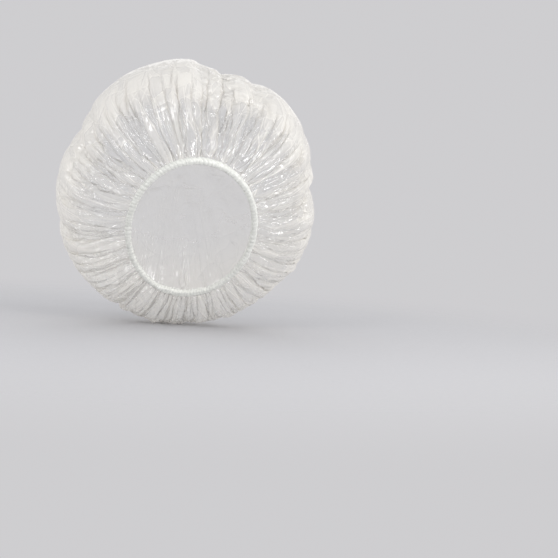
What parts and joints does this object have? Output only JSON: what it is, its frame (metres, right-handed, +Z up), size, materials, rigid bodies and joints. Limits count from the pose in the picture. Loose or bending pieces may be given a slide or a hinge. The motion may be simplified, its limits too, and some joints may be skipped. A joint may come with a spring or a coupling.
{
  "type": "shower cap",
  "caption": "Puffed bouffant shower cap of clear gathered film, with a soft fabric-bound elastic band, in the pose in which it is worn.",
  "frame": {"origin": "centre of the oval opening, in the middle of the elastic band", "axes": "+Z up and -Y forward, out of the wearer's forehead, as worn; +X to the wearer's left. The opening leans back 50 degrees: its forehead end is high and in front, its nape end low and behind"},
  "size_m": [0.2971, 0.2528, 0.3072],
  "materials": {
    "clear_film": "thin clear polyethylene film, glossy and crinkled, milky where its folds pile up",
    "band_fabric": "soft matt nonwoven tape, off-white with a faint green cast",
    "elastic_yarn": "white knitted yarn",
    "rubber_core": "natural latex",
    "sewing_thread": "white spun thread"
  },
  "bodies": {
    "root": {"film_crown": "clear_film", "binding_tape": "band_fabric", "elastic_jacket": "elastic_yarn", "rubber_strand_1": "rubber_core", "rubber_strand_2": "rubber_core", "rubber_strand_3": "rubber_core", "needle_thread": "sewing_thread", "bobbin_thread": "sewing_thread"}
  },
  "joints": []
}
